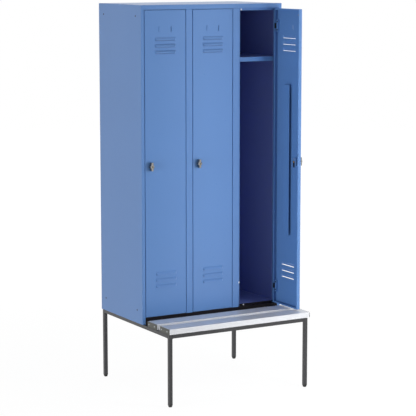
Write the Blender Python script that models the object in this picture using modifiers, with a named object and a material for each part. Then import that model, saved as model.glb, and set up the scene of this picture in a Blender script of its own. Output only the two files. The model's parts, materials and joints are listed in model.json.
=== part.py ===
"""Locker with bench: a three-compartment steel clothes locker on a square-tube
base frame, whose front carries a bench of two aluminium slats.

Units are metres and +Z is up. The sizes are laid out from the middle of the
cabinet's front face, at floor level: +X is right and +Y is back. One empty then
moves the whole piece, so that the world origin is the bottom centre of its box.
"""

import math

import bmesh
import bpy
from mathutils import Matrix, Vector

# Overall
TOTAL_H = 2.090
CAB_W = 0.870
CAB_D = 0.490
BASE_H = 0.388
DOORS = 3
GAP = 0.0003  # seat between two pieces that touch
CUT = 0.004  # overrun of a cutter past what it cuts
MERGE = 0.00001  # points of a turned shape this near are one

# Base frame of square tube
TUBE = 0.020
TUBE_WALL = 0.0015
TUBE_R = 0.0015
TUBE_INNER_R = 0.0005
BASE_INSET = 0.0036  # from the cabinet's sides and back to the frame
BENCH_REACH = 0.290  # from the cabinet's front to the bench's front
FOOT_H = 0.015
FOOT_TIP = 0.013
SPIGOT_L = 0.018
SPIGOT_CLEAR = 0.0003

# Bench slats
SLAT_W = 0.100
SLAT_T = 0.030
SLAT_SPACE = 0.039
SLAT_R = 0.002
SLAT_WALL = 0.0022
SLAT_CELLS = 3
SLAT_CELL_R = 0.0011
SLAT_OVER = 0.0144  # past the right legs; the left end is flush
CAP_T = 0.0025
CAP_STEP = 0.0006  # the cap stays inside the slat's outline
CAP_R = 0.0015

# Cabinet sheet
SHEET = 0.0008
BEND_R = 0.0015
STILE_W = 0.0187
MULLION_W = 0.0389
DOOR_T = 0.020
DOOR_GAP = 0.0028  # beside each door
DOOR_GAP_V = 0.002  # over and under each door
HEAD_H = 0.025
SILL_H = 0.036
STOP_Y = 0.0225  # from the front face to the door stops
STOP_LIP = 0.0185
HEAD_LIP = 0.012
SILL_LIP = 0.010
REAR_FLANGE = 0.020
PARTITION_FLANGE = 0.030
PARTITION_REAR = 0.015
FLOOR_LIP = 0.020
ROOF_SKIRT = 0.014
ROOF_SKIRT_SETBACK = 0.026

# Holes that join one cabinet to the next
JOIN_HOLE_D = 0.007
JOIN_FROM_FRONT = 0.062
JOIN_FROM_BACK = 0.054
JOIN_FROM_TOP = 0.057
JOIN_FROM_BOTTOM = 0.071

# Inside
SHELF_DROP = 0.290  # from the roof's top to the shelf's top
SHELF_EDGE = 0.025
SHELF_HEM = 0.012
SHELF_SETBACK = 0.006
COAT_RAIL_D = 0.016
COAT_FLANGE_D = 0.024
COAT_FLANGE_T = 0.003
COAT_DROP = 0.029  # from the shelf's top to the rail's axis

# Door pan
DOOR_LIP = 0.009
LOUVRES = 3
LOUVRE_L = 0.125
LOUVRE_PITCH = 0.0343
LOUVRE_FROM_TOP = 0.194
LOUVRE_FROM_BOTTOM = 0.190
LOUVRE_OUT = 0.008
LOUVRE_CREASE = 0.017  # from the slot's middle up to where the hood leaves the skin
LOUVRE_SHOULDER = 0.009  # from the slot's middle up to the hood's own crease
LOUVRE_SHOULDER_OUT = 0.0065
LOUVRE_NOSE = 0.0008  # from the slot's middle up to the hood's lip
LOUVRE_SLOT_LOW = 0.0010
LOUVRE_TAPER = 0.007  # the hood's ends lean in by this much
CARD_W = 0.071
CARD_H = 0.036
CARD_SLIT = 0.0022
CARD_FROM_TOP = 0.100
STIFF_W = 0.056
STIFF_DEPTH = 0.0147
STIFF_L = 0.828

# Hinges
HINGE_FROM_END = 0.095
PIN_FROM_EDGE = 0.0045
PIN_FROM_FACE = 0.006
PIN_D = 0.005
PIN_BORE_D = 0.0056
PIN_L = 0.060
BARREL_D = 0.008
ARM_T = 0.004
ARM_H = 0.025
HINGE_PLATE_T = 0.0012
HINGE_PLATE_W = 0.010
BRACKET_W = 0.0224
BRACKET_H = 0.064
BRACKET_DEPTH = 0.012
BRACKET_WELD = 0.0004  # how far it is let into the skin and the edge
NOTCH_W = 0.010
NOTCH_H = 0.029
NOTCH_FROM_FACE = 0.0015

# Lock
LOCK_FROM_EDGE = 0.032
LOCK_BELOW_MIDDLE = 0.005
LOCK_CASE_W = 0.026
LOCK_CASE_H = 0.044
LOCK_CASE_DEPTH = 0.0227
LOCK_CASE_R = 0.003
SPINDLE_D = 0.008
SPINDLE_BORE_D = 0.0090
KNOB_BOSS_D = 0.023
KNOB_BOSS_H = 0.0235
KNOB_BOSS_CHAMFER = 0.0015
KNOB_OUT = 0.025
WING_W = 0.012
WING_L = 0.046
WING_ROOT = 0.0015
WING_R = 0.0025
CAM_W = 0.014
CAM_L = 0.030
CAM_T = 0.0022

# White buffer on the sill's stop
BUFFER_D = 0.008
BUFFER_T = 0.0019
BUFFER_FROM_EDGE = 0.045

# Door angles as photographed
OPEN_ANGLES = (0.0, 0.0, math.radians(90.0))

HALF_W = CAB_W / 2
CAB_BOTTOM = BASE_H + GAP
WALL_TOP = TOTAL_H - SHEET - GAP
WALL_BACK = CAB_D - SHEET - GAP
HEAD_BOTTOM = TOTAL_H - HEAD_H
SILL_TOP = CAB_BOTTOM + SILL_H
STOP_BACK = STOP_Y + SHEET + GAP
OPENING_W = (CAB_W - 2 * STILE_W - (DOORS - 1) * MULLION_W) / DOORS
DOOR_W = OPENING_W - 2 * DOOR_GAP
PITCH = OPENING_W + MULLION_W
DOOR_Z0 = SILL_TOP + DOOR_GAP_V
DOOR_Z1 = HEAD_BOTTOM - DOOR_GAP_V
DOOR_MIDDLE = (DOOR_Z0 + DOOR_Z1) / 2
PIN_X = DOOR_W / 2 - PIN_FROM_EDGE
PIN_Y = PIN_FROM_FACE
LOCK_X = LOCK_FROM_EDGE - DOOR_W / 2
LOCK_Z = DOOR_MIDDLE - LOCK_BELOW_MIDDLE
CASE_BACK = SHEET + GAP + LOCK_CASE_DEPTH
SHELF_TOP = TOTAL_H - SHELF_DROP
LEG_X = HALF_W - BASE_INSET - TUBE / 2
FRAME_LEFT = -LEG_X - TUBE / 2
FRAME_RIGHT = LEG_X + TUBE / 2
FRONT_LEG_Y = TUBE / 2 - BENCH_REACH
REAR_LEG_Y = CAB_D - BASE_INSET - TUBE / 2
SLAT_RIGHT = FRAME_RIGHT + SLAT_OVER
ORIGIN_X = (SLAT_RIGHT - HALF_W) / 2
ORIGIN_Y = (CAB_D - BENCH_REACH) / 2
OPENING_CENTRES = [(i - (DOORS - 1) / 2) * PITCH for i in range(DOORS)]
HINGE_HEIGHTS = (DOOR_Z1 - HINGE_FROM_END, DOOR_Z0 + HINGE_FROM_END)


def empty_scene():
    for obj in list(bpy.data.objects):
        bpy.data.objects.remove(obj, do_unlink=True)


def collection(name):
    found = bpy.data.collections.new(name)
    bpy.context.scene.collection.children.link(found)
    return found


def material(name, rgb, roughness, metallic=0.0):
    """A Principled material from a colour as a picture shows it."""
    made = bpy.data.materials.new(name)
    made.use_nodes = True
    shader = made.node_tree.nodes["Principled BSDF"]
    linear = [((c + 0.055) / 1.055) ** 2.4 if c > 0.04045 else c / 12.92 for c in rgb]
    shader.inputs["Base Color"].default_value = (*linear, 1.0)
    shader.inputs["Roughness"].default_value = roughness
    shader.inputs["Metallic"].default_value = metallic
    made.diffuse_color = (*linear, 1.0)
    return made


class Workshop:
    """Links each new object to its collection, material and parent."""

    def __init__(self):
        self.parts = collection("locker_with_bench")
        self.cutters = collection("cutters")
        self.materials = {
            "blue": material("blue_powder_coat", (0.36, 0.50, 0.76), 0.45),
            "black": material("black_powder_coat", (0.09, 0.09, 0.10), 0.5),
            "grey": material("grey_powder_coat", (0.29, 0.29, 0.30), 0.5),
            "aluminium": material("brushed_aluminium", (0.86, 0.87, 0.89), 0.35, 1.0),
            "nickel": material("nickel", (0.72, 0.72, 0.70), 0.25, 1.0),
            "zinc": material("zinc_plate", (0.66, 0.67, 0.68), 0.35, 1.0),
            "plastic": material("black_plastic", (0.10, 0.10, 0.10), 0.6),
            "rubber": material("white_rubber", (0.90, 0.90, 0.88), 0.6),
        }

    def empty(self, name, parent=None, location=(0, 0, 0), rotation=(0, 0, 0)):
        obj = bpy.data.objects.new(name, None)
        self.parts.objects.link(obj)
        obj.parent = parent
        obj.location = location
        obj.rotation_euler = rotation
        return obj

    def part(self, name, data, finish, parent, location=(0, 0, 0), rotation=(0, 0, 0)):
        obj = bpy.data.objects.new(name, data)
        self.parts.objects.link(obj)
        if not data.materials:
            data.materials.append(self.materials[finish])
        obj.parent = parent
        obj.location = location
        obj.rotation_euler = rotation
        return obj

    def helper(self, name, data, parent=None, location=(0, 0, 0)):
        """A cutter, or a shape that a Boolean joins to a part."""
        obj = bpy.data.objects.new(name, data)
        self.cutters.objects.link(obj)
        obj.parent = parent
        obj.location = location
        obj.hide_render = True
        obj.display_type = "WIRE"
        return obj


def mesh_of(name, bm):
    data = bpy.data.meshes.new(name)
    bmesh.ops.recalc_face_normals(bm, faces=bm.faces)
    bm.to_mesh(data)
    bm.free()
    return data


def add_box(bm, x, y, z):
    """A box between the given limits, each a pair."""
    size = Vector((x[1] - x[0], y[1] - y[0], z[1] - z[0]))
    centre = Vector((x[0] + x[1], y[0] + y[1], z[0] + z[1])) / 2
    return bmesh.ops.create_cube(
        bm, size=1.0, matrix=Matrix.LocRotScale(centre, None, size)
    )["verts"]


def box_mesh(name, *boxes):
    bm = bmesh.new()
    for limits in boxes:
        add_box(bm, *limits)
    return mesh_of(name, bm)


def add_cylinder(bm, radius, length, centre, axis, segments):
    turn = {
        "X": Matrix.Rotation(math.radians(90), 4, "Y"),
        "Y": Matrix.Rotation(math.radians(90), 4, "X"),
        "Z": Matrix.Identity(4),
    }[axis]
    bmesh.ops.create_cone(
        bm,
        cap_ends=True,
        segments=segments,
        radius1=radius,
        radius2=radius,
        depth=length,
        matrix=Matrix.Translation(centre) @ turn,
    )


def rounded_outline(width, height, radius, steps=2):
    """The corners of a rounded rectangle about the middle, counterclockwise."""
    points = []
    for sx, sy, start in ((1, 1, 0), (-1, 1, 90), (-1, -1, 180), (1, -1, 270)):
        cx, cy = sx * (width / 2 - radius), sy * (height / 2 - radius)
        for k in range(steps + 1):
            a = math.radians(start + 90 * k / steps)
            points.append((cx + radius * math.cos(a), cy + radius * math.sin(a)))
    return points


def extrusion(name, outlines, length):
    """A flat curve, its later outlines cut out of the first, drawn out along Z."""
    curve = bpy.data.curves.new(name, "CURVE")
    curve.dimensions = "2D"
    curve.fill_mode = "BOTH"
    curve.extrude = length / 2
    for points in outlines:
        spline = curve.splines.new("POLY")
        spline.points.add(len(points) - 1)
        for point, (x, y) in zip(spline.points, points):
            point.co = (x, y, 0, 1)
        spline.use_cyclic_u = True
    return curve


def square_tube(name, length):
    inner = TUBE - 2 * TUBE_WALL
    return extrusion(
        name,
        [rounded_outline(TUBE, TUBE, TUBE_R), rounded_outline(inner, inner, TUBE_INNER_R, 1)],
        length,
    )


def profile_mesh(name, profile):
    """A line through (radius, z) points, from the top down its outer side."""
    bm = bmesh.new()
    verts = [bm.verts.new((r, 0, z)) for r, z in profile]
    for a, b in zip(verts, verts[1:]):
        bm.edges.new((a, b))
    data = bpy.data.meshes.new(name)
    bm.to_mesh(data)
    bm.free()
    return data


def spin(obj, steps):
    """Turns a profile into a round solid about its Z."""
    screw = obj.modifiers.new("spin", "SCREW")
    screw.axis = "Z"
    screw.angle = math.radians(360)
    screw.steps = screw.render_steps = steps
    screw.use_merge_vertices = True
    screw.merge_threshold = MERGE
    return obj


def bend(obj, radius=BEND_R, sheet=None, segments=2):
    """Rounds the folds, then gives the open surface its sheet thickness."""
    bevel = obj.modifiers.new("bends", "BEVEL")
    bevel.limit_method = "ANGLE"
    bevel.angle_limit = math.radians(40)
    bevel.width = radius
    bevel.segments = segments
    if sheet:
        shell = obj.modifiers.new("sheet", "SOLIDIFY")
        shell.thickness = sheet
        shell.offset = -1
        shell.use_even_offset = True
        shell.use_quality_normals = True
    return obj


def folded_mesh(name, path, axis, start, end):
    """An open strip through the path, which lies across the axis. The side on
    the path's right becomes the outer face, and the sheet lies on its left."""
    bm = bmesh.new()
    if axis == "Z":
        verts = [bm.verts.new((a, b, start)) for a, b in path]
        along = Vector((0, 0, end - start))
        outer = Vector((path[1][1] - path[0][1], path[0][0] - path[1][0], 0))
    else:
        verts = [bm.verts.new((start, a, b)) for a, b in path]
        along = Vector((end - start, 0, 0))
        outer = Vector((0, path[1][1] - path[0][1], path[0][0] - path[1][0]))
    edges = [bm.edges.new(pair) for pair in zip(verts, verts[1:])]
    new = bmesh.ops.extrude_edge_only(bm, edges=edges)["geom"]
    moved = [e for e in new if isinstance(e, bmesh.types.BMVert)]
    bmesh.ops.translate(bm, verts=moved, vec=along)
    bmesh.ops.recalc_face_normals(bm, faces=bm.faces)
    bm.normal_update()
    first = next(f for f in bm.faces if verts[0] in f.verts)
    if first.normal.dot(outer) < 0:
        bmesh.ops.reverse_faces(bm, faces=bm.faces)
    data = bpy.data.meshes.new(name)
    bm.to_mesh(data)
    bm.free()
    return data


def pan_mesh(name, x, y, z, open_side, lip):
    """A tray open on one side, with a lip folded in all round that side."""
    bm = bmesh.new()
    add_box(bm, x, y, z)
    bm.normal_update()
    face = max(bm.faces, key=lambda f: f.normal.dot(Vector(open_side)))
    bmesh.ops.inset_region(bm, faces=[face], thickness=lip, use_even_offset=True)
    bmesh.ops.delete(bm, geom=[face], context="FACES")
    data = bpy.data.meshes.new(name)
    bm.to_mesh(data)
    bm.free()
    return data


def boolean(obj, other, operation="DIFFERENCE"):
    step = obj.modifiers.new(other.name, "BOOLEAN")
    step.operation = operation
    step.object = other
    step.solver = "EXACT"
    return obj


def baked(shop, obj):
    """The object's mesh with its modifiers carried out, so copies can share it."""
    bpy.context.view_layer.update()
    graph = bpy.context.evaluated_depsgraph_get()
    data = bpy.data.meshes.new_from_object(obj.evaluated_get(graph))
    data.name = obj.name
    helpers = [m.object for m in obj.modifiers if m.type == "BOOLEAN"]
    for used in [obj, *helpers]:
        bpy.data.objects.remove(used, do_unlink=True)
    return data


def smoothed(mesh):
    mesh.shade_smooth()
    mesh.set_sharp_from_angle(angle=math.radians(30))
    return mesh


# Base frame and bench


def make_base(shop, root):
    leg_bottom = FOOT_H + GAP
    leg_len = BASE_H - leg_bottom
    leg = square_tube("leg", leg_len)
    foot = foot_mesh()
    for side, sx in (("left", -1), ("right", 1)):
        for end, y in (("front", FRONT_LEG_Y), ("rear", REAR_LEG_Y)):
            place = (sx * LEG_X, y)
            shop.part(
                f"leg_{end}_{side}", leg, "grey", root, (*place, leg_bottom + leg_len / 2)
            )
            shop.part(f"foot_{end}_{side}", foot, "plastic", root, (*place, 0))

    rail_z = BASE_H - TUBE / 2
    side_len = REAR_LEG_Y - FRONT_LEG_Y - TUBE - 2 * GAP
    side_rail = square_tube("side_rail", side_len)
    for side, sx in (("left", -1), ("right", 1)):
        shop.part(
            f"rail_{side}",
            side_rail,
            "grey",
            root,
            (sx * LEG_X, (FRONT_LEG_Y + REAR_LEG_Y) / 2, rail_z),
            (math.radians(90), 0, 0),
        )
    cross_rail = square_tube("cross_rail", 2 * LEG_X - TUBE - 2 * GAP)
    for name, y in (
        ("rail_front", FRONT_LEG_Y),
        ("rail_middle", TUBE / 2),
        ("rail_rear", REAR_LEG_Y),
    ):
        shop.part(name, cross_rail, "grey", root, (0, y, rail_z), (0, math.radians(90), 0))


def foot_mesh():
    """A plug tapering to the floor, with a spigot up inside the leg."""
    bm = bmesh.new()
    bmesh.ops.create_cone(
        bm,
        cap_ends=True,
        segments=4,
        radius1=FOOT_TIP / math.sqrt(2),
        radius2=TUBE / math.sqrt(2),
        depth=FOOT_H,
        matrix=Matrix.Translation((0, 0, FOOT_H / 2))
        @ Matrix.Rotation(math.radians(45), 4, "Z"),
    )
    bm.normal_update()
    top = max(bm.faces, key=lambda f: f.normal.z)
    shoulder = TUBE_WALL + SPIGOT_CLEAR
    bmesh.ops.inset_region(bm, faces=[top], thickness=shoulder, use_even_offset=True)
    grown = bmesh.ops.extrude_discrete_faces(bm, faces=[top])["faces"]
    bmesh.ops.translate(bm, verts=grown[0].verts, vec=(0, 0, SPIGOT_L))
    bmesh.ops.remove_doubles(bm, verts=bm.verts, dist=GAP / 10)
    return mesh_of("foot", bm)


def make_bench(shop, root):
    cell_w = (SLAT_W - (SLAT_CELLS + 1) * SLAT_WALL) / SLAT_CELLS
    cell_h = SLAT_T - 2 * SLAT_WALL
    outlines = [rounded_outline(SLAT_W, SLAT_T, SLAT_R)]
    for k in range(SLAT_CELLS):
        middle = (k - (SLAT_CELLS - 1) / 2) * (cell_w + SLAT_WALL)
        cell = rounded_outline(cell_w, cell_h, SLAT_CELL_R, 1)
        outlines.append([(middle + a, b) for a, b in cell])
    ends = CAP_T + GAP
    length = SLAT_RIGHT - FRAME_LEFT - 2 * ends
    slat = extrusion("slat", outlines, length)
    cap_size = (SLAT_W - 2 * CAP_STEP, SLAT_T - 2 * CAP_STEP)
    cap = extrusion("cap", [rounded_outline(*cap_size, CAP_R)], CAP_T)

    # The curve's plane turns to stand across X.
    across = (math.radians(90), 0, math.radians(90))
    z = BASE_H + GAP + SLAT_T / 2
    front = SLAT_W / 2 - BENCH_REACH
    middle_x = (FRAME_LEFT + SLAT_RIGHT) / 2
    for name, y in (("front", front), ("rear", front + SLAT_W + SLAT_SPACE)):
        shop.part(f"slat_{name}", slat, "aluminium", root, (middle_x, y, z), across)
        for side, x in (
            ("left", FRAME_LEFT + CAP_T / 2),
            ("right", SLAT_RIGHT - CAP_T / 2),
        ):
            shop.part(f"cap_{name}_{side}", cap, "plastic", root, (x, y, z), across)


# Cabinet


def make_sides(shop, root):
    """Each side is one sheet: rear flange, wall, stile, jamb and door stop."""
    jamb = HALF_W - STILE_W
    path = [
        (HALF_W - REAR_FLANGE, WALL_BACK),
        (HALF_W, WALL_BACK),
        (HALF_W, 0),
        (jamb, 0),
        (jamb, STOP_Y),
        (jamb - STOP_LIP, STOP_Y),
    ]
    bm = bmesh.new()
    for y in (JOIN_FROM_FRONT, CAB_D - JOIN_FROM_BACK):
        for z in (TOTAL_H - JOIN_FROM_TOP, CAB_BOTTOM + JOIN_FROM_BOTTOM):
            for sx in (-1, 1):
                add_cylinder(bm, JOIN_HOLE_D / 2, CUT, (sx * HALF_W, y, z), "X", 12)
    holes = shop.helper("join_holes", mesh_of("join_holes", bm), root)
    for side, points in (
        ("left", [(-x, y) for x, y in path]),
        ("right", list(reversed(path))),
    ):
        mesh = folded_mesh(f"side_{side}", points, "Z", CAB_BOTTOM, WALL_TOP)
        obj = shop.part(f"side_{side}", mesh, "blue", root)
        boolean(bend(obj, sheet=SHEET), holes)


def stop_notches(shop, root, name, lip, fold):
    """Boxes that clear the way for the uprights' stops: past the mullions they
    take the rail's own stop away, and past the sides its fold too."""
    clear = PITCH / 2 - OPENING_W / 2 + STOP_LIP + GAP
    boxes = []
    for k in range(DOORS + 1):
        x = (k - DOORS / 2) * PITCH
        z = fold if k in (0, DOORS) else lip
        boxes.append(
            ((x - clear, x + clear), (STOP_Y - BEND_R - GAP, STOP_Y + CUT), z)
        )
    return shop.helper(name, box_mesh(name, *boxes), root)


def make_front_rails(shop, root):
    end = HALF_W - STILE_W - GAP
    header = folded_mesh(
        "header",
        [
            (0, WALL_TOP),
            (0, HEAD_BOTTOM),
            (STOP_Y, HEAD_BOTTOM),
            (STOP_Y, HEAD_BOTTOM - HEAD_LIP),
        ],
        "X",
        -end,
        end,
    )
    obj = bend(shop.part("header", header, "blue", root), sheet=SHEET)
    low = HEAD_BOTTOM - HEAD_LIP - CUT
    boolean(
        obj,
        stop_notches(
            shop,
            root,
            "header_notches",
            (low, HEAD_BOTTOM - GAP),
            (low, HEAD_BOTTOM + SHEET + CUT),
        ),
    )

    sill = folded_mesh(
        "sill",
        [
            (STOP_Y, SILL_TOP + SILL_LIP),
            (STOP_Y, SILL_TOP),
            (0, SILL_TOP),
            (0, CAB_BOTTOM),
        ],
        "X",
        -end,
        end,
    )
    obj = bend(shop.part("sill", sill, "black", root), sheet=SHEET)
    high = SILL_TOP + SILL_LIP + CUT
    boolean(
        obj,
        stop_notches(
            shop,
            root,
            "sill_notches",
            (SILL_TOP + GAP / 2, high),
            (SILL_TOP - SHEET - CUT, high),
        ),
    )


def make_uprights(shop, root):
    """The hat sections between the doors, and the partitions behind them."""
    half = MULLION_W / 2
    hat = folded_mesh(
        "mullion",
        [
            (-half - STOP_LIP, STOP_Y),
            (-half, STOP_Y),
            (-half, 0),
            (half, 0),
            (half, STOP_Y),
            (half + STOP_LIP, STOP_Y),
        ],
        "Z",
        SILL_TOP + GAP,
        HEAD_BOTTOM - GAP,
    )
    wall = folded_mesh(
        "partition",
        [
            (-PARTITION_FLANGE, STOP_BACK),
            (SHEET / 2, STOP_BACK),
            (SHEET / 2, WALL_BACK - SHEET),
            (PARTITION_REAR, WALL_BACK - SHEET),
        ],
        "Z",
        SILL_TOP + GAP,
        WALL_TOP,
    )
    for k in range(1, DOORS):
        x = (k - DOORS / 2) * PITCH
        bend(shop.part(f"mullion_{k}", hat, "blue", root, (x, 0, 0)), sheet=SHEET)
        bend(shop.part(f"partition_{k}", wall, "blue", root, (x, 0, 0)), sheet=SHEET)


def make_panels(shop, root):
    back = box_mesh(
        "back_panel", ((-HALF_W, HALF_W), (CAB_D - SHEET, CAB_D), (CAB_BOTTOM, WALL_TOP))
    )
    shop.part("back_panel", back, "blue", root)

    inner = HALF_W - SHEET - GAP
    rear = WALL_BACK - SHEET - GAP
    roof = box_mesh(
        "roof_panel", ((-HALF_W, HALF_W), (0, CAB_D), (TOTAL_H - SHEET, TOTAL_H))
    )
    obj = shop.part("roof_panel", roof, "blue", root)
    skirt_y = (ROOF_SKIRT_SETBACK, rear - ROOF_SKIRT_SETBACK)
    skirt_z = (TOTAL_H - ROOF_SKIRT, TOTAL_H - SHEET / 2)
    skirts = [
        ((inner - SHEET, inner), skirt_y, skirt_z),
        ((-inner, SHEET - inner), skirt_y, skirt_z),
    ]
    boolean(obj, shop.helper("roof_skirts", box_mesh("roof_skirts", *skirts), root), "UNION")

    floor = pan_mesh(
        "floor_panel",
        (-inner, inner),
        (STOP_BACK, rear),
        (CAB_BOTTOM, SILL_TOP),
        (0, 0, -1),
        FLOOR_LIP,
    )
    bend(shop.part("floor_panel", floor, "blue", root), sheet=SHEET)


def compartment(k):
    """The clear limits in X of compartment k, between its walls."""
    left = -HALF_W + SHEET if k == 0 else (k - DOORS / 2) * PITCH + SHEET / 2
    right = (
        HALF_W - SHEET if k == DOORS - 1 else (k + 1 - DOORS / 2) * PITCH - SHEET / 2
    )
    return left + GAP, right - GAP


def make_insides(shop, root):
    front = STOP_BACK + SHEET + SHELF_SETBACK
    rear = WALL_BACK - SHEET - BEND_R - GAP
    profile = [
        (rear, SHELF_TOP - SHELF_EDGE),
        (rear, SHELF_TOP),
        (front, SHELF_TOP),
        (front, SHELF_TOP - SHELF_EDGE),
        (front + SHELF_HEM, SHELF_TOP - SHELF_EDGE),
    ]
    for k in range(DOORS):
        x0, x1 = compartment(k)
        shelf = folded_mesh(f"shelf_{k + 1}", profile, "X", x0, x1)
        bend(shop.part(f"shelf_{k + 1}", shelf, "blue", root), sheet=SHEET)

        length = x1 - x0
        r, flange = COAT_RAIL_D / 2, COAT_FLANGE_D / 2
        rail = profile_mesh(
            f"coat_rail_{k + 1}",
            [
                (0, length),
                (flange, length),
                (flange, length - COAT_FLANGE_T),
                (r, length - COAT_FLANGE_T),
                (r, COAT_FLANGE_T),
                (flange, COAT_FLANGE_T),
                (flange, 0),
                (0, 0),
            ],
        )
        place = (x0, (front + rear) / 2, SHELF_TOP - COAT_DROP)
        turn = (0, math.radians(90), 0)
        spin(shop.part(f"coat_rail_{k + 1}", rail, "zinc", root, place, turn), steps=16)


# Hinges, buffers


def hinge_mesh(shop):
    """The arm on the frame: plate on the door stop, arm, barrel and pin."""
    side = OPENING_W / 2 - BEND_R - GAP
    back = STOP_Y - GAP
    front = back - HINGE_PLATE_T
    plate = box_mesh(
        "hinge",
        ((side - HINGE_PLATE_W, side), (front, back), (-BRACKET_H / 2, BRACKET_H / 2)),
    )
    obj = shop.part("hinge", plate, "black", None)
    arm = box_mesh(
        "arm",
        (
            (PIN_X - ARM_T / 2, PIN_X + ARM_T / 2),
            (PIN_Y, front + HINGE_PLATE_T / 2),
            (-ARM_H / 2, ARM_H / 2),
        ),
    )
    boolean(obj, shop.helper("arm", arm), "UNION")
    for name, d, length in (("barrel", BARREL_D, ARM_H), ("pin", PIN_D, PIN_L)):
        bm = bmesh.new()
        add_cylinder(bm, d / 2, length, (PIN_X, PIN_Y, 0), "Z", 12)
        boolean(obj, shop.helper(name, mesh_of(name, bm)), "UNION")
    return baked(shop, obj)


def make_hinges(shop, root):
    hinge = hinge_mesh(shop)
    for k, x in enumerate(OPENING_CENTRES, 1):
        for name, z in zip(("top", "bottom"), HINGE_HEIGHTS):
            shop.part(f"hinge_{k}_{name}", hinge, "black", root, (x, 0, z))


def make_buffers(shop, root):
    bm = bmesh.new()
    add_cylinder(bm, BUFFER_D / 2, BUFFER_T, (0, 0, 0), "Y", 12)
    disc = mesh_of("buffer", bm)
    y = STOP_Y - GAP - BUFFER_T / 2
    z = SILL_TOP + SILL_LIP / 2
    for k, x in enumerate(OPENING_CENTRES, 1):
        at = x - OPENING_W / 2 + BUFFER_FROM_EDGE
        shop.part(f"buffer_{k}", disc, "rubber", root, (at, y, z))


# Doors, in the opening's own coordinates: x from its middle, y from its front


def louvre_heights():
    for middle in (DOOR_Z1 - LOUVRE_FROM_TOP, DOOR_Z0 + LOUVRE_FROM_BOTTOM):
        for k in range(LOUVRES):
            yield middle + (k - (LOUVRES - 1) / 2) * LOUVRE_PITCH


def add_louvre_form(bm, half, profile):
    """A solid under the (y, z) profile, whose ends lean in as it stands out."""
    lean = LOUVRE_TAPER / LOUVRE_OUT
    ends = [
        [bm.verts.new((sx * (half + lean * y), y, z)) for y, z in profile]
        for sx in (-1, 1)
    ]
    bm.faces.new(ends[0])
    bm.faces.new(reversed(ends[1]))
    for k in range(len(profile)):
        bm.faces.new((ends[0][k - 1], ends[0][k], ends[1][k], ends[1][k - 1]))


def louvre_hoods(shop):
    """The pressed hoods as solids, and the hollows that go under them."""
    crease = Vector((0, LOUVRE_CREASE))
    shoulder = Vector((-LOUVRE_SHOULDER_OUT, LOUVRE_SHOULDER))
    nose = Vector((-LOUVRE_OUT, LOUVRE_NOSE))
    bevel = (shoulder - crease).normalized()
    face = (nose - shoulder).normalized()
    inward = [Vector((-way.y, way.x)) for way in (bevel, face)]
    # One step that leaves the sheet's thickness under both faces.
    step = (inward[0] + inward[1]) * SHEET / (1 + inward[0].dot(inward[1]))
    inner = shoulder + step
    behind = inner + bevel * ((SHEET + CUT - inner.x) / bevel.x)
    low = inner + face * ((-LOUVRE_SLOT_LOW - inner.y) / face.y)

    outside = [(SHEET / 2, nose.y), nose, shoulder, crease, (SHEET / 2, crease.y)]
    inside = [(SHEET + CUT, low.y), low, inner, behind]
    inner_half = LOUVRE_L / 2 - SHEET * math.hypot(1, LOUVRE_TAPER / LOUVRE_OUT)
    hoods, hollows = bmesh.new(), bmesh.new()
    for height in louvre_heights():
        for bm, half, profile in (
            (hoods, LOUVRE_L / 2, outside),
            (hollows, inner_half, inside),
        ):
            add_louvre_form(bm, half, [(y, height + z) for y, z in profile])
    return (
        shop.helper("louvre_hoods", mesh_of("louvre_hoods", hoods)),
        shop.helper("louvre_hollows", mesh_of("louvre_hollows", hollows)),
    )


def door_mesh(shop):
    half = DOOR_W / 2
    pan = pan_mesh(
        "door_panel", (-half, half), (0, DOOR_T), (DOOR_Z0, DOOR_Z1), (0, 1, 0), DOOR_LIP
    )
    obj = bend(shop.part("door_panel", pan, "blue", None), sheet=SHEET)

    bracket_x = half - SHEET + BRACKET_WELD
    blocks, notches, bores = [], [], bmesh.new()
    for z in HINGE_HEIGHTS:
        blocks.append(
            (
                (bracket_x - BRACKET_W, bracket_x),
                (SHEET - BRACKET_WELD, BRACKET_DEPTH),
                (z - BRACKET_H / 2, z + BRACKET_H / 2),
            )
        )
        notches.append(
            (
                (half - NOTCH_W, half + CUT),
                (NOTCH_FROM_FACE, DOOR_T + CUT),
                (z - NOTCH_H / 2, z + NOTCH_H / 2),
            )
        )
        add_cylinder(bores, PIN_BORE_D / 2, BRACKET_H + CUT, (PIN_X, PIN_Y, z), "Z", 12)
    boolean(obj, shop.helper("hinge_blocks", box_mesh("hinge_blocks", *blocks)), "UNION")
    boolean(obj, shop.helper("hinge_notches", box_mesh("hinge_notches", *notches)))
    boolean(obj, shop.helper("pin_bores", mesh_of("pin_bores", bores)))

    hoods, hollows = louvre_hoods(shop)
    boolean(obj, hoods, "UNION")
    boolean(obj, hollows)

    holes = bmesh.new()
    for sx in (-1, 1):
        add_slit(holes, (sx * CARD_W / 2, 0, DOOR_Z1 - CARD_FROM_TOP))
    add_cylinder(holes, SPINDLE_BORE_D / 2, CUT, (LOCK_X, 0, LOCK_Z), "Y", 16)
    boolean(obj, shop.helper("door_holes", mesh_of("door_holes", holes)))
    return baked(shop, obj)


def add_slit(bm, centre):
    """A lens-shaped slit, standing on end."""
    shape = (
        Matrix.Translation(centre)
        @ Matrix.Diagonal((1, 1, CARD_H / CARD_SLIT, 1))
        @ Matrix.Rotation(math.radians(90), 4, "X")
    )
    bmesh.ops.create_cone(
        bm,
        cap_ends=True,
        segments=12,
        radius1=CARD_SLIT / 2,
        radius2=CARD_SLIT / 2,
        depth=CUT,
        matrix=shape,
    )


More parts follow.
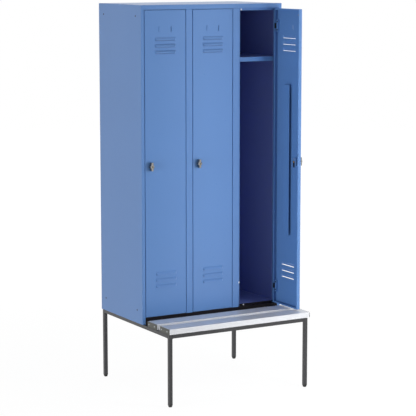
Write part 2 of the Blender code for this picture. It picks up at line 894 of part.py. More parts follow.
def stiffener_mesh():
    """A C channel on the skin, open towards the door's free edge."""
    near = SHEET + GAP
    return folded_mesh(
        "stiffener",
        [
            (-STIFF_W / 2, near),
            (STIFF_W / 2, near),
            (STIFF_W / 2, near + STIFF_DEPTH),
            (-STIFF_W / 2, near + STIFF_DEPTH),
        ],
        "Z",
        LOCK_Z - STIFF_L / 2,
        LOCK_Z + STIFF_L / 2,
    )


def lock_case_mesh(shop):
    near = SHEET + GAP
    block = box_mesh(
        "lock_case",
        (
            (-LOCK_CASE_W / 2, LOCK_CASE_W / 2),
            (near, CASE_BACK),
            (-LOCK_CASE_H / 2, LOCK_CASE_H / 2),
        ),
    )
    obj = bend(shop.part("lock_case", block, "zinc", None), radius=LOCK_CASE_R)
    bm = bmesh.new()
    middle = (0, (near + CASE_BACK) / 2, 0)
    add_cylinder(bm, SPINDLE_BORE_D / 2, LOCK_CASE_DEPTH + CUT, middle, "Y", 16)
    return baked(shop, boolean(obj, shop.helper("case_bore", mesh_of("case_bore", bm))))


def knob_mesh(shop):
    """A turned boss and spindle, with a grip wing through the boss."""
    boss, spindle = KNOB_BOSS_D / 2, SPINDLE_D / 2
    seat, nose = -GAP, -GAP - KNOB_BOSS_H
    profile = profile_mesh(
        "knob",
        [
            (0, CASE_BACK),
            (spindle, CASE_BACK),
            (spindle, seat),
            (boss, seat),
            (boss, nose + KNOB_BOSS_CHAMFER),
            (boss - KNOB_BOSS_CHAMFER, nose),
            (0, nose),
        ],
    )
    # The turned profile's Z points back, along the door's Y.
    turn = Matrix.Rotation(math.radians(-90), 4, "X")
    wing = box_mesh(
        "wing",
        (
            (-WING_W / 2, WING_W / 2),
            (-WING_L / 2, WING_L / 2),
            (-KNOB_OUT, -WING_ROOT),
        ),
    )
    helper = bend(shop.helper("wing", wing), radius=WING_R)
    obj = spin(shop.part("knob", profile, "nickel", None), steps=24)
    mesh = baked(shop, boolean(obj, helper, "UNION"))
    mesh.transform(turn)
    return mesh


def cam_curve():
    """A latch with one round end, about the spindle's axis, hanging down."""
    r = CAM_W / 2
    points = [(r, -CAM_L), (r, 0)]
    for k in range(1, 6):
        a = math.radians(180 * k / 6)
        points.append((r * math.cos(a), r * math.sin(a)))
    points += [(-r, 0), (-r, -CAM_L)]
    return extrusion("cam", [points], CAM_T)


def make_doors(shop, root):
    panel = door_mesh(shop)
    stiffener = stiffener_mesh()
    case = lock_case_mesh(shop)
    knob = smoothed(knob_mesh(shop))
    cam = cam_curve()
    for k, (x, angle) in enumerate(zip(OPENING_CENTRES, OPEN_ANGLES), 1):
        pivot = shop.empty(
            f"door_{k}_axis", root, (x + PIN_X, PIN_Y, 0), (0, 0, angle)
        )
        offset = (-PIN_X, -PIN_Y, 0)
        shop.part(f"door_panel_{k}", panel, "blue", pivot, offset)
        bend(shop.part(f"stiffener_{k}", stiffener, "blue", pivot, offset), sheet=SHEET)
        spindle = (LOCK_X - PIN_X, -PIN_Y, LOCK_Z)
        shop.part(f"lock_case_{k}", case, "zinc", pivot, spindle)
        shop.part(f"knob_{k}", knob, "nickel", pivot, spindle)
        cam_y = CASE_BACK + GAP + CAM_T / 2 - PIN_Y
        shop.part(
            f"cam_{k}",
            cam,
            "zinc",
            pivot,
            (LOCK_X - PIN_X, cam_y, LOCK_Z),
            (math.radians(90), 0, 0),
        )


def main():
    empty_scene()
    shop = Workshop()
    root = shop.empty("locker_axes", None, (-ORIGIN_X, -ORIGIN_Y, 0))
    make_base(shop, root)
    make_bench(shop, root)
    make_sides(shop, root)
    make_front_rails(shop, root)
    make_uprights(shop, root)
    make_panels(shop, root)
    make_insides(shop, root)
    make_hinges(shop, root)
    make_buffers(shop, root)
    make_doors(shop, root)
    bpy.context.view_layer.update()


main()
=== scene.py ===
"""Steel clothes locker with a bench in front: finishes, small fittings and studio.

The solid model gives every main form. This file finishes each of its pieces,
adds the small fittings that sit on them, and lights the whole in a studio.
Lengths are metres, +X is right, +Y is back and +Z is up.
"""

import json
import math

import bmesh
import bpy
import numpy as np
from bpy.props import (
    FloatProperty,
    FloatVectorProperty,
    IntProperty,
    PointerProperty,
)
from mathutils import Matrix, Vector


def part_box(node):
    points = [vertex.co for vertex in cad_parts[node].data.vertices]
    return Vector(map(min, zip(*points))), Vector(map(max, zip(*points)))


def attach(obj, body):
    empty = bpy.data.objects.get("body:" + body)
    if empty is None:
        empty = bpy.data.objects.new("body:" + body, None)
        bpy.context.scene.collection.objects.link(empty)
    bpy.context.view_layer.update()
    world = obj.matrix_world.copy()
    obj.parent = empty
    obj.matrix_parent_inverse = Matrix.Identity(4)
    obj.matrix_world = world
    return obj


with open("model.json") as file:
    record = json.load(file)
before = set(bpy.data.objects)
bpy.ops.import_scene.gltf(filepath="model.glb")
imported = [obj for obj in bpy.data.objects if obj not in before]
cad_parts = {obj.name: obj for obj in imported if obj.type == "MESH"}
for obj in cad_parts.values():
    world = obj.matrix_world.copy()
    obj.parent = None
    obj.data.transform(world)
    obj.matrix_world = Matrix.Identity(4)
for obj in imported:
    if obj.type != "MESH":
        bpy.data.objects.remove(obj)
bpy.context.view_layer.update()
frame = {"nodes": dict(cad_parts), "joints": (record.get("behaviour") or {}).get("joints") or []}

bl_info = {
    "name": "Locker with bench",
    "version": (1, 0, 0),
    "blender": (4, 5, 0),
    "location": "View3D > Sidebar > Locker",
    "description": "Finishes, fittings and studio of a steel locker with a bench",
    "category": "Object",
}

MM = 0.001
LEFT, RIGHT = Vector((-1, 0, 0)), Vector((1, 0, 0))
FRONT, BACK = Vector((0, -1, 0)), Vector((0, 1, 0))
DOWN, UP = Vector((0, 0, -1)), Vector((0, 0, 1))
DOORS = (1, 2, 3)

# Sizes of the solid model's doors, where they carry fittings
DOOR_W = 246 * MM
PIN_FROM_EDGE = 4.5 * MM
PIN_FROM_FACE = 6 * MM
BRACKET_DEPTH = 12 * MM
RIVET_FROM_EDGE = 16.5 * MM
CARD_DROP = 100 * MM
CARD_W = 71 * MM
CARD_H = 36 * MM
CARD_SLIT = 2.2 * MM
CARD_RIB_DROP = 120 * MM
CARD_RIB_W = 62 * MM
CARD_SHEET = 0.6 * MM
LIP_DEPTH = 20 * MM
LIP_RIVET_FROM_FREE_EDGE = 6.8 * MM
LIP_RIVET_DROP = 31 * MM

# Where the solid model's cabinet sides have their connection holes
PLUG_FROM_FRONT = 62 * MM
PLUG_FROM_BACK = 54 * MM
PLUG_FROM_TOP = 57 * MM
PLUG_FROM_BOTTOM = 71 * MM

# Where the door stops carry their buffers
SILL_BUFFER_FROM_EDGE = 45 * MM
HEAD_BUFFER_FROM_EDGE = 26 * MM
HEAD_BUFFER_RISE = 5.5 * MM
SIDE_BUFFER_FROM_EDGE = 15.5 * MM
SIDE_BUFFER_RISE = 122.7 * MM

# Fine reliefs that are drawn by shading: how deep they look
PEEL_DEPTH = 0.05 * MM
SWELL_DEPTH = 2 * MM
BRUSH_DEPTH = 0.08 * MM
GROOVE_DEPTH = 0.25 * MM
POLISH_DEPTH = 0.02 * MM
SCALE_DEPTH = 0.05 * MM
GRAIN_DEPTH = 0.05 * MM

# Small fittings: how far they stand out, and how far in the seams lie
CORE_HEIGHT = 0.8 * MM
CASE_SCREW_HEIGHT = 1.0 * MM
SPOT_HEIGHT = 0.35 * MM
SPOT_INSET = 10 * MM
MERGE_WITHIN = 2e-6

# The studio's lamps: their width and height, and the place of their middle
LAMPS = {
    "key": ((0.3, 2.6), (0.75, -1.6, 1.25)),
    "fill": ((1.6, 2.2), (3.83, -3.21, 1.2)),
    "front": ((2.0, 2.4), (-3.6, -5.0, 1.4)),
    "side": ((3.0, 1.4), (-8.0, -1.4, 0.75)),
    "rear": ((2.4, 2.4), (3.2, 3.8, 1.8)),
    "top": ((2.0, 2.0), (0.0, 0.0, 5.0)),
}
SENSOR = 36.0
CLIP_END = 200.0

# The studio's floor: it keeps the shadow near the locker and is white far away
FLOOR_RADIUS = 14.0
FLOOR_RINGS = 24
FLOOR_SECTORS = 64
SHADOW_WITHIN = 1.2
WHITE_BEYOND = 6.0
FLOOR_ALBEDO = 0.9
# A little over 1, to make up for the share of the floor that is matt.
FLOOR_WHITE = 1.04


def linear(code):
    """An sRGB hex colour as the linear numbers that a shader takes."""
    raw = np.array([int(code[k : k + 2], 16) / 255 for k in (1, 3, 5)])
    low, high = raw / 12.92, ((raw + 0.055) / 1.055) ** 2.4
    return tuple(float(v) for v in np.where(raw <= 0.04045, low, high))


def colour(name, code, description):
    """A colour that a user can change, from an sRGB hex colour."""
    return FloatVectorProperty(
        name=name,
        description=description,
        subtype="COLOR",
        size=3,
        min=0.0,
        max=1.0,
        default=linear(code),
    )


def length(name, millimetres, description):
    """A length that a user can change."""
    return FloatProperty(
        name=name,
        description=description,
        default=millimetres * MM,
        min=0.0,
        subtype="DISTANCE",
        unit="LENGTH",
    )


def power(name, watts, description):
    """A lamp's power that a user can change."""
    return FloatProperty(
        name=name, description=description, default=watts, min=0.0, unit="POWER"
    )


def level(name, value, description):
    """A share from 0 to 1 that a user can change."""
    return FloatProperty(
        name=name, description=description, default=value, min=0.0, max=1.0
    )


# What a user would change


class LockerFinishes(bpy.types.PropertyGroup):
    cabinet_colour: colour("Cabinet", "#5984bf", "Powder coat of cabinet and doors")
    # Painted shade: the inside colour is a tone that stands in for the dim bounce light within
    # the compartments.
    inside_shade_colour: colour("Inside", "#7989c6", "Powder coat of the inner sheets")
    sill_colour: colour("Sill", "#171418", "Powder coat of the sill under the doors")
    base_colour: colour("Base frame", "#343436", "Powder coat of the tube frame")
    slat_colour: colour("Bench slats", "#dcdee2", "Anodised aluminium of the slats")
    cap_colour: colour("Slat caps", "#4e4f4a", "Moulded caps of the slats")
    foot_colour: colour("Feet", "#161616", "Moulded feet of the legs and plugs")
    core_colour: colour("Key cores", "#6f6c5c", "Dull brass of the key cores")
    knob_colour: colour("Knobs", "#9d9a95", "Satin nickel of the knobs")
    cam_colour: colour("Cams", "#4a4f58", "Blackened zinc of the lock cams")
    nut_colour: colour("Nuts", "#c49a62", "Yellow-passivated zinc of nuts and screws")
    rail_colour: colour("Coat rails", "#b4b8bc", "Bright zinc of coat rails and screws")
    buffer_colour: colour("Buffers", "#f8f8f6", "White rubber of the door buffers")
    pin_colour: colour("Hinges", "#121214", "Blackened steel of hinges and rivets")
    coat_roughness: level("Coat roughness", 0.30, "Sheen of the powder coat")
    peel_pitch: length("Orange peel", 7.0, "Distance between the coat's ripples")


class LockerFittings(bpy.types.PropertyGroup):
    screw_d: length("Cap screw", 8.5, "Diameter of the slat caps' screw heads")
    screw_h: length("Cap screw height", 1.8, "How far those heads stand out")
    screw_from_back: length("Rear screw", 15.5, "From the slat's rear edge")
    screw_spacing: length("Screw spacing", 60.5, "Between the two screws of a cap")
    case_screw_d: length("Case screw", 4.5, "Diameter of the lock case's screws")
    case_screw_span: length("Case screw span", 33.0, "Between those two screws")
    buffer_d: length("Buffer", 10.5, "Diameter of a door buffer")
    buffer_h: length("Buffer height", 1.9, "How far it stands out of the stop")
    rivet_d: length("Hinge rivet", 10.0, "Diameter of the hinge brackets' rivets")
    rivet_h: length("Rivet height", 2.0, "How far a rivet stands out")
    rivet_span: length("Rivet span", 44.0, "Between the two rivets of a bracket")
    spot_d: length("Weld spot", 7.0, "Diameter of a spot weld's mark")
    spot_pitch: length("Weld pitch", 138.0, "Between the spot welds of a seam")
    bead_leg: length("Weld bead", 3.2, "Leg length of the frame's fillet welds")
    core_d: length("Lock core", 9.0, "Diameter of the key core in the knob")
    nut_w: length("Cam nut", 10.0, "Width across flats of the nut that holds a cam")
    nut_h: length("Cam nut height", 3.5, "How far that nut stands out")
    rib_h: length("Card rib", 2.6, "Height of the pressed rib under the name card")
    rib_out: length("Card rib relief", 0.9, "How far that rib stands out")
    lip_w: length("Card lip", 7.0, "Width of the raised lip beside a card slit")
    lip_out: length("Card lip relief", 3.0, "How far that lip's edge stands out")
    plug_d: length("Plug", 9.5, "Diameter of the plugs in the cabinet's sides")
    plug_h: length("Plug height", 0.9, "How far those plugs stand out")
    lip_rivet_d: length("Lip rivet", 4.5, "Diameter of the rivet in the door's lip")
    spots_across: IntProperty(
        name="Spots across",
        description="Spot welds along the back panel's top and bottom",
        default=9,
        min=2,
    )


class LockerStudio(bpy.types.PropertyGroup):
    camera_place: FloatVectorProperty(
        name="Camera",
        description="Where the camera stands",
        subtype="TRANSLATION",
        unit="LENGTH",
        default=(-4.4757, -7.7713, 2.3144),
    )
    camera_yaw: FloatProperty(
        name="Yaw",
        description="How far the camera turns towards the right",
        subtype="ANGLE",
        default=math.radians(30.062),
    )
    camera_pitch: FloatProperty(
        name="Pitch",
        description="How far the camera looks down",
        subtype="ANGLE",
        default=math.radians(8.486),
    )
    camera_lens: FloatProperty(
        name="Lens",
        description="Focal length in millimetres, on a sensor 36 mm wide",
        default=142.93,
        min=1.0,
    )
    key_power: power("Key lamp", 18.0, "Tall strip box in front, at the right")
    fill_power: power("Fill lamp", 78.0, "Soft box in front, far to the right")
    front_power: power("Front lamp", 14.0, "Soft box beside the camera")
    side_power: power("Side lamp", 270.0, "Low wide soft box far to the left")
    top_power: power("Top lamp", 30.0, "Soft box above the locker")
    rear_power: power("Rear lamp", 90.0, "Large soft box behind, at the right")
    room_level: level("Room light", 0.2, "Light from all around on matt surfaces")
    floor_glow: level("Floor glow", 0.92, "How far the floor is seen as plain white")


# Materials


def add_node(tree, kind, inputs=None, **settings):
    """Adds a node: settings are its properties, inputs are values or other
    nodes' sockets for its own sockets."""
    made = tree.nodes.new(kind)
    for name, value in settings.items():
        setattr(made, name, value)
    for socket, value in (inputs or {}).items():
        if isinstance(value, bpy.types.NodeSocket):
            tree.links.new(value, made.inputs[socket])
        else:
            made.inputs[socket].default_value = value
    return made


def begin(name):
    """A new material with its tree, shader and the object's coordinates."""
    material = bpy.data.materials.new(name)
    material.use_nodes = True
    tree = material.node_tree
    tree.nodes.clear()
    shader = add_node(tree, "ShaderNodeBsdfPrincipled")
    add_node(tree, "ShaderNodeOutputMaterial", {"Surface": shader.outputs["BSDF"]})
    where = add_node(tree, "ShaderNodeTexCoord").outputs["Object"]
    return material, tree, shader, where


def settle(shader, **values):
    """Sets plain inputs of a shader; an underscore stands for a space."""
    for socket, value in values.items():
        shader.inputs[socket.replace("_", " ")].default_value = value


def noise(tree, where, pitch, detail=2.0):
    """Noise whose features are about one pitch, in metres, across."""
    made = add_node(
        tree,
        "ShaderNodeTexNoise",
        {"Vector": where, "Scale": 1 / pitch, "Detail": detail},
    )
    return made.outputs["Fac"]


def between(tree, factor, low, high):
    """The factor's middle half stretched over the numbers from low to high."""
    inputs = {
        "Value": factor,
        "From Min": 0.25,
        "From Max": 0.75,
        "To Min": low,
        "To Max": high,
    }
    return add_node(tree, "ShaderNodeMapRange", inputs).outputs["Result"]


def shade(base, share):
    """The base colour times a share, with a full alpha."""
    return (*(min(1.0, c * share) for c in base), 1.0)


def tinted(tree, factor, base, spread):
    """The base colour, made darker and lighter by a share as factor changes."""
    made = add_node(
        tree,
        "ShaderNodeMix",
        {0: factor, 6: shade(base, 1 - spread), 7: shade(base, 1 + spread)},
        data_type="RGBA",
    )
    return made.outputs[2]


def raised(tree, height, depth, after=None):
    """A bump of the given depth in metres, on top of an earlier one."""
    inputs = {"Height": height, "Distance": depth, "Strength": 1.0}
    if after is not None:
        inputs["Normal"] = after
    return add_node(tree, "ShaderNodeBump", inputs).outputs["Normal"]


def inside_cabinet(tree, where):
    """1 within the cabinet's sheets and behind its shelves' edges, otherwise 0."""
    back, half_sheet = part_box("back_panel"), 0.4 * MM
    skin = Vector((half_sheet, half_sheet, half_sheet))
    low = Vector((back[0].x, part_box("shelf_1")[0].y, back[0].z)) + skin
    high = Vector((back[1].x, back[1].y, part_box("roof_panel")[1].z)) - skin
    middle, reach = (low + high) / 2, (high - low) / 2
    steps = (("SUBTRACT", middle), ("ABSOLUTE", None), ("SUBTRACT", reach))
    for operation, value in steps:
        inputs = {0: where} if value is None else {0: where, 1: value}
        where = add_node(
            tree, "ShaderNodeVectorMath", inputs, operation=operation
        ).outputs[0]
    parts = add_node(tree, "ShaderNodeSeparateXYZ", {0: where}).outputs
    past = parts[0]
    for more in parts[1:]:
        past = add_node(
            tree, "ShaderNodeMath", {0: past, 1: more}, operation="MAXIMUM"
        ).outputs[0]
    return add_node(
        tree, "ShaderNodeMath", {0: past, 1: 0.0}, operation="LESS_THAN"
    ).outputs[0]


def powder_coat(name, base, roughness, pitch, inner=None):
    """Polyester powder, sprayed on dry and baked. It flows into a satin film
    with orange peel, so highlights are broad and slightly mottled. True peel is
    1 to 2 mm across; it is drawn coarser, or it wouldn't show. Given an inner
    colour, the coat takes it inside the cabinet: a painted shade tone that stands
    in for the dim bounce light in the compartments."""
    material, tree, shader, where = begin(name)
    spread = 0.03
    peel = noise(tree, where, pitch, detail=3.0)
    cloud = noise(tree, where, 60 * pitch)
    paint = tinted(tree, cloud, base, spread)
    # The inside colour is painted shade: it stands in for the compartments' dim bounce light.
    if inner is not None:
        paint = add_node(
            tree,
            "ShaderNodeMix",
            {
                0: inside_cabinet(tree, where),
                6: paint,
                7: tinted(tree, cloud, inner, spread),
            },
            data_type="RGBA",
        ).outputs[2]
    tree.links.new(paint, shader.inputs["Base Color"])
    rough = between(tree, peel, roughness - 0.03, roughness + 0.03)
    tree.links.new(rough, shader.inputs["Roughness"])
    # Thin sheet is never quite flat: a slow swell of the panel under the coat.
    swell = raised(tree, cloud, SWELL_DEPTH)
    tree.links.new(raised(tree, peel, PEEL_DEPTH, swell), shader.inputs["Normal"])
    return material


def extruded_aluminium(name, base):
    """Aluminium extrusion, brushed along its length and anodised clear: long
    fine lines that spread a highlight across them, and shallow die grooves."""
    material, tree, shader, where = begin(name)
    # The noise is drawn out along X, the length of the slats.
    stretched = {"Vector": where, "Scale": (0.006, 1, 1)}
    along = add_node(tree, "ShaderNodeMapping", stretched).outputs["Vector"]
    # Brush lines are about 0.2 mm apart; drawn at 2 mm, or they wouldn't show.
    line_pitch, band_pitch = 2 * MM, 14 * MM
    lines = noise(tree, along, line_pitch, detail=4.0)
    bands = noise(tree, along, band_pitch)
    tree.links.new(tinted(tree, bands, base, 0.05), shader.inputs["Base Color"])
    rough = between(tree, lines, 0.32, 0.46)
    tree.links.new(rough, shader.inputs["Roughness"])
    grooves = raised(tree, bands, GROOVE_DEPTH)
    normal = raised(tree, lines, BRUSH_DEPTH, grooves)
    tree.links.new(normal, shader.inputs["Normal"])
    settle(shader, Metallic=0.3)
    return material


def plated_metal(name, base, roughness, spread, pitch):
    """Zinc or nickel plate on steel or die-cast zinc, or bare brass: a thin
    bright film with faint clouds and fine polishing marks under it."""
    material, tree, shader, where = begin(name)
    cloud = noise(tree, where, pitch, detail=4.0)
    marks = noise(tree, where, pitch / 12)
    tree.links.new(tinted(tree, cloud, base, spread), shader.inputs["Base Color"])
    rough = between(tree, cloud, roughness - 0.06, roughness + 0.08)
    tree.links.new(rough, shader.inputs["Roughness"])
    tree.links.new(raised(tree, marks, POLISH_DEPTH), shader.inputs["Normal"])
    settle(shader, Metallic=1.0)
    return material


def blackened_steel(name, base):
    """Hinge steel, blackened hot and oiled: near black, with a dull sheen that
    changes in small clouds."""
    material, tree, shader, where = begin(name)
    pitch, spread = 6 * MM, 0.2
    cloud = noise(tree, where, pitch, detail=4.0)
    tree.links.new(tinted(tree, cloud, base, spread), shader.inputs["Base Color"])
    tree.links.new(between(tree, cloud, 0.45, 0.65), shader.inputs["Roughness"])
    tree.links.new(raised(tree, cloud, SCALE_DEPTH), shader.inputs["Normal"])
    settle(shader, Specular_IOR_Level=0.3)
    return material


def moulded(name, base, roughness, pitch):
    """Plastic or rubber, injection moulded in a spark-eroded mould, which
    leaves a fine even grain: a matt face that goes grey at its edges."""
    material, tree, shader, where = begin(name)
    grain = noise(tree, where, pitch, detail=3.0)
    cloud = noise(tree, where, 20 * pitch)
    tree.links.new(tinted(tree, cloud, base, 0.06), shader.inputs["Base Color"])
    rough = between(tree, grain, roughness - 0.06, roughness + 0.06)
    tree.links.new(rough, shader.inputs["Roughness"])
    tree.links.new(raised(tree, grain, GRAIN_DEPTH), shader.inputs["Normal"])
    settle(shader, IOR=1.49)
    return material


def dress(material, *stems):
    """Gives a material to every node whose name starts with one of the stems."""
    for name, node in frame["nodes"].items():
        if name.startswith(stems):
            for slot in node.material_slots:
                slot.material = material


# Surfaces


def cells(rows, columns):
    """Corner numbers of each cell of a grid of points, as an array of quads."""
    row, column = np.meshgrid(np.arange(rows - 1), np.arange(columns - 1), indexing="ij")
    first = row * columns + column
    quad = np.stack((first, first + 1, first + columns + 1, first + columns), -1)
    return quad.reshape(-1, 4)


def make_piece(name, grids, material, body, sharp=35):
    """One object from many grids of points, shaped (count, rows, columns, 3).
    Points that meet are merged, so a grid whose edges meet is a closed skin."""
    count, rows, columns, _ = grids.shape
    step = np.arange(count)[:, None, None] * rows * columns
    quads = (cells(rows, columns)[None] + step).reshape(-1, 4)
    mesh = bpy.data.meshes.new(name)
    mesh.from_pydata(grids.reshape(-1, 3).tolist(), [], quads.tolist())
    bm = bmesh.new()
    bm.from_mesh(mesh)
    bmesh.ops.remove_doubles(bm, verts=bm.verts, dist=MERGE_WITHIN)
    bmesh.ops.dissolve_degenerate(bm, edges=bm.edges, dist=MERGE_WITHIN / 2)
    bmesh.ops.recalc_face_normals(bm, faces=bm.faces)
    bm.to_mesh(mesh)
    bm.free()
    mesh.shade_smooth()
    mesh.set_sharp_from_angle(angle=math.radians(sharp))
    mesh.materials.append(material)
    obj = bpy.data.objects.new(name, mesh)
    bpy.context.scene.collection.objects.link(obj)
    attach(obj, body)
    return obj


def placed(grids, seats):
    """Copies of grids drawn about Z, set on seats: (point, outward normal, up)."""
    copies = []
    for point, out, up in seats:
        axes = np.array([up.cross(out), up, out])
        copies.append(grids @ axes + np.array(point))
    return np.concatenate(copies)


def disc(steps):
    """A square grid drawn onto the unit disc: each point moves inwards by the
    square root of one less half the other coordinate's square."""
    t = np.linspace(-1, 1, steps)
    u, v = np.meshgrid(t, t)
    x, y = u * np.sqrt(1 - v**2 / 2), v * np.sqrt(1 - u**2 / 2)
    return x, y, np.minimum(np.hypot(x, y), 1.0)


def closed_disc(x, y, z, diameter, let_in):
    """The height z over a disc, with a flat underside let into its seat."""
    r = diameter / 2
    top = np.stack((x * r, y * r, z - let_in), -1)
    under = np.stack((x * r, y * r, 0 * z - let_in), -1)
    return np.stack((top, under))


def head(diameter, height, crown=4.0, arms=0, steps=21):
    """A button: height times the root of one less radius to the power crown. A
    recess of crossed arms is taken off it, each arm a block of smooth edges."""
    x, y, r = disc(steps)
    arm_half_width, arm_length, arm_depth, steepness = 0.15, 0.55, 0.75, 60
    cut = np.zeros_like(r)
    for a, b in ((x, y), (y, x))[:arms]:
        across = 1 / (1 + np.exp((np.abs(a) - arm_half_width) * steepness))
        along = 1 / (1 + np.exp((np.abs(b) - arm_length) * steepness))
        cut = np.maximum(cut, across * along)
    z = height * (np.sqrt(1 - r**crown) - arm_depth * cut)
    return closed_disc(x, y, z, diameter, height / 20)


def nut(width, height, steps=31):
    """A hexagon nut: the unit disc, stretched at each angle by one over the
    cosine of the angle to the nearest flat's middle. Its chamfer is the root of
    one less radius to the twelfth."""
    x, y, r = disc(steps)
    sixth = math.pi / 3
    off = (np.arctan2(y, x) + sixth / 2) % sixth - sixth / 2
    z = height * np.sqrt(1 - r**12)
    return closed_disc(x / np.cos(off), y / np.cos(off), z, width, height / 20)


def weld_spot(diameter, height, steps=9):
    """A spot weld's mark: a ring with a dent in it, whose height is four times
    the squared radius times one less the squared radius."""
    x, y, r = disc(steps)
    z = height * 4 * r**2 * (1 - r**2)
    return closed_disc(x, y, z, diameter, height / 4)


def rib(width, height, out, steps=(25, 9)):
    """A pressed rib. With u along it and v across it from -1 to 1, its height is
    the relief times the square root of (1 - u**8) * (1 - v**2)."""
    u, v = np.meshgrid(*(np.linspace(-1, 1, n) for n in steps))
    z = out * np.sqrt((1 - u**8) * (1 - v**2))
    x, y = u * width / 2, v * height / 2
    let_in = out / 5
    top = np.stack((x, y, z - let_in), -1)
    under = np.stack((x, y, 0 * z - let_in), -1)
    return np.stack((top, under))


def lip(width, height, out, thick, steps=(9, 17)):
    """A raised lip beside a slit, whose free edge lies along Y at x = 0. Its
    width and relief both go as one less half-way height squared; across it the
    relief rises as a quarter sine. The sheet under it keeps its thickness."""
    across, along = (np.linspace(a, 1, n) for a, n in zip((0, -1), steps))
    u, v = np.meshgrid(np.concatenate((across, across[::-1], [0])), along)
    under = np.zeros_like(u)
    under[:, steps[0] : 2 * steps[0]] = thick
    lens = 1 - v**2
    z = out * lens * np.sin(u * math.pi / 2) - under
    return np.stack((-width * lens * (1 - u), v * height / 2, z), -1)[None]


def bead(start, end, first, second, leg, steps=40, around=9):
    """A fillet weld from start to end in the corner between two faces: a
    quarter round, drawn in between its legs, which follow the faces. Along its
    way it is scaled by a blunt oval and by the welder's ripples."""
    start, span = np.array(start), np.array(end - start)
    s = np.linspace(0, 1, steps)[:, None]
    ripple_pitch, ripple_share, hollow_share = 1.6 * MM, 0.16, 0.14
    phase = math.pi * s * np.linalg.norm(span) / ripple_pitch
    ripple = 1 - ripple_share * np.abs(np.sin(phase))
    size = leg * np.sqrt(np.clip(1 - (2 * s - 1) ** 8, 0, 1)) * ripple
    turn = np.linspace(0, math.pi / 2, around - 2)
    bulge = 1 - hollow_share * (1 - np.abs(np.cos(2 * turn)))
    a = np.concatenate(([0], np.cos(turn) * bulge, [0]))[None]
    b = np.concatenate(([0], np.sin(turn) * bulge, [0]))[None]
    way = start + s * span
    grid = (
        way[:, None, :]
        + (size * a)[..., None] * np.array(first)
        + (size * b)[..., None] * np.array(second)
    )
    return grid[None]


# Places


def axis_of(joint_name):
    """A point on a joint's axis."""
    joint = next(j for j in frame["joints"] if j["name"] == joint_name)
    return Vector(joint["pos_m"])


def onto_face(point, out, box):
    """The point moved along the direction out onto that face of a box."""
    moved = Vector(point)
    for i in range(3):
        if out[i] != 0:
            moved[i] = box[1][i] if out[i] > 0 else box[0][i]
    return moved


def door_frame(k):
    """A function that gives a point on door k from its x, which runs from the
    hinge edge to the free edge, its depth behind the door's face and its height.
    With it comes the direction from the door's face to its inner side."""
    low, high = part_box(f"door_panel_{k}")
    is_open = high.y - low.y > high.x - low.x
    along, inward = (FRONT, LEFT) if is_open else (LEFT, BACK)
    pin = axis_of(f"door_{k}_swing")
    edge = pin - PIN_FROM_EDGE * along - PIN_FROM_FACE * inward

    def point(x, depth, z):
        flat = edge + x * along + depth * inward
        return Vector((flat.x, flat.y, z))

    return point, inward


# Studio


def seen(tree):
    """1 for the rays that show a surface: direct, mirrored or through glass."""
    path = add_node(tree, "ShaderNodeLightPath").outputs
    rays = path["Is Camera Ray"]
    for more in ("Is Glossy Ray", "Is Transmission Ray"):
        rays = add_node(
            tree, "ShaderNodeMath", {0: rays, 1: path[more]}, operation="MAXIMUM"
        ).outputs[0]
    return rays


def white_world(scene, room_level):
    """White where it is seen or mirrored, and a low room light elsewhere."""
    world = bpy.data.worlds.new("studio")
    scene.world = world
    world.use_nodes = True
    tree = world.node_tree
    tree.nodes.clear()

    def background(strength):
        inputs = {"Color": (1, 1, 1, 1), "Strength": strength}
        return add_node(tree, "ShaderNodeBackground", inputs).outputs[0]

    mix = add_node(
        tree,
        "ShaderNodeMixShader",
        {0: seen(tree), 1: background(room_level), 2: background(1.0)},
    )
    add_node(tree, "ShaderNodeOutputWorld", {"Surface": mix.outputs[0]})


def lay_floor(glow):
    """A wide pale floor that keeps the shadow and fades into white far away."""
    reach = np.linspace(0, FLOOR_RADIUS, FLOOR_RINGS)
    r, turn = np.meshgrid(reach, np.linspace(0, 2 * math.pi, FLOOR_SECTORS + 1))
    points = np.stack((r * np.cos(turn), r * np.sin(turn), 0 * r), -1)
    mesh = bpy.data.meshes.new("floor")
    quads = cells(FLOOR_SECTORS + 1, FLOOR_RINGS)[:, ::-1]
    mesh.from_pydata(points.reshape(-1, 3).tolist(), [], quads.tolist())
    floor = bpy.data.objects.new("floor", mesh)
    bpy.context.scene.collection.objects.link(floor)

    material = bpy.data.materials.new("studio_floor")
    material.use_nodes = True
    tree = material.node_tree
    tree.nodes.clear()
    where = add_node(tree, "ShaderNodeTexCoord").outputs["Object"]
    away = add_node(
        tree, "ShaderNodeVectorMath", {0: where}, operation="LENGTH"
    ).outputs["Value"]
    far = add_node(
        tree,
        "ShaderNodeMapRange",
        {
            "Value": away,
            "From Min": SHADOW_WITHIN,
            "From Max": WHITE_BEYOND,
            "To Min": glow,
        },
        interpolation_type="SMOOTHSTEP",
    ).outputs["Result"]
    share = add_node(
        tree, "ShaderNodeMath", {0: seen(tree), 1: far}, operation="MULTIPLY"
    ).outputs[0]
    pale = (FLOOR_ALBEDO, FLOOR_ALBEDO, FLOOR_ALBEDO, 1)
    matt = add_node(tree, "ShaderNodeBsdfDiffuse", {"Color": pale})
    glowing = {"Color": (1, 1, 1, 1), "Strength": FLOOR_WHITE}
    white = add_node(tree, "ShaderNodeEmission", glowing)
    mix = add_node(
        tree,
        "ShaderNodeMixShader",
        {0: share, 1: matt.outputs[0], 2: white.outputs[0]},
    )
    add_node(tree, "ShaderNodeOutputMaterial", {"Surface": mix.outputs[0]})
    mesh.materials.append(material)


def hang_lamp(name, watts, size, place):
    """A soft box, upright and facing the locker's middle, or straight above it.
    It lights matt faces; mirrored rays pass it, so satin coats reflect the plain
    white room."""
    data = bpy.data.lights.new(name, "AREA")
    data.energy = watts
    data.shape = "RECTANGLE"
    data.size, data.size_y = size
    lamp = bpy.data.objects.new(name, data)
    lamp.location = place
    flat = Vector((place[0], place[1], 0))
    if flat.length > 0:
        lamp.rotation_euler = flat.to_track_quat("Z", "Y").to_euler()
    lamp.visible_camera = False
    lamp.visible_glossy = False
    bpy.context.scene.collection.objects.link(lamp)


